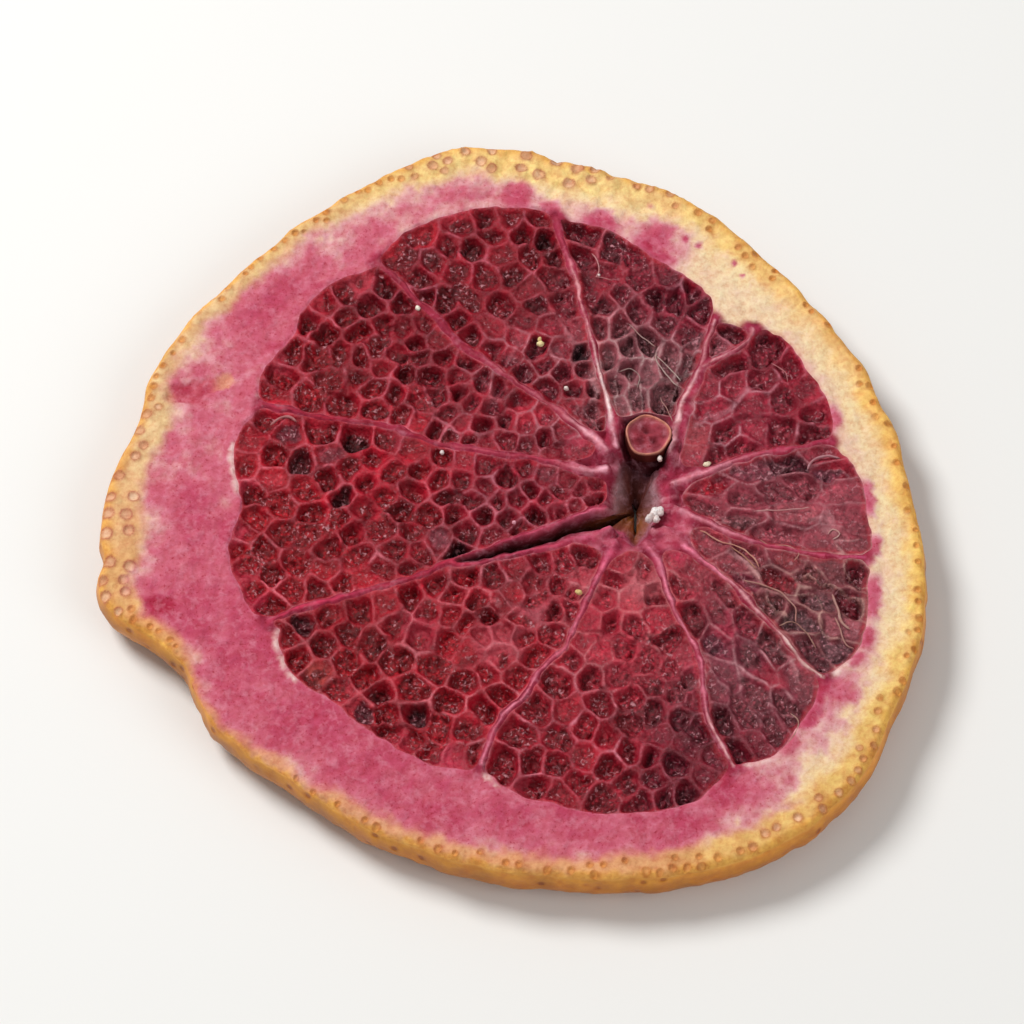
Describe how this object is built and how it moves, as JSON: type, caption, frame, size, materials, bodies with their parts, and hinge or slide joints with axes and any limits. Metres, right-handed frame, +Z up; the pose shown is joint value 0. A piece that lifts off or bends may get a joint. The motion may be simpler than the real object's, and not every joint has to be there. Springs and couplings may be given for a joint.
{
  "type": "freeze-dried blood orange slice",
  "caption": "Round dried citrus slice, deep red, with a pink pithy rind, thin amber peel, segments of open juice cells, and a split core with a cut pip beside it.",
  "frame": {"origin": "centre of the footprint at the height of the underside", "axes": "+Z up out of the cut face that shows, +Y towards the edge of the slice that is farthest from the viewer, +X to the viewer's right"},
  "size_m": [0.0726, 0.0734, 0.0058],
  "materials": {
    "dried_flesh": "matt, brittle and porous, dark wine-red juice cells in a pink and cream pith"
  },
  "bodies": {
    "root": {"orange_slice": "dried_flesh"}
  },
  "joints": []
}
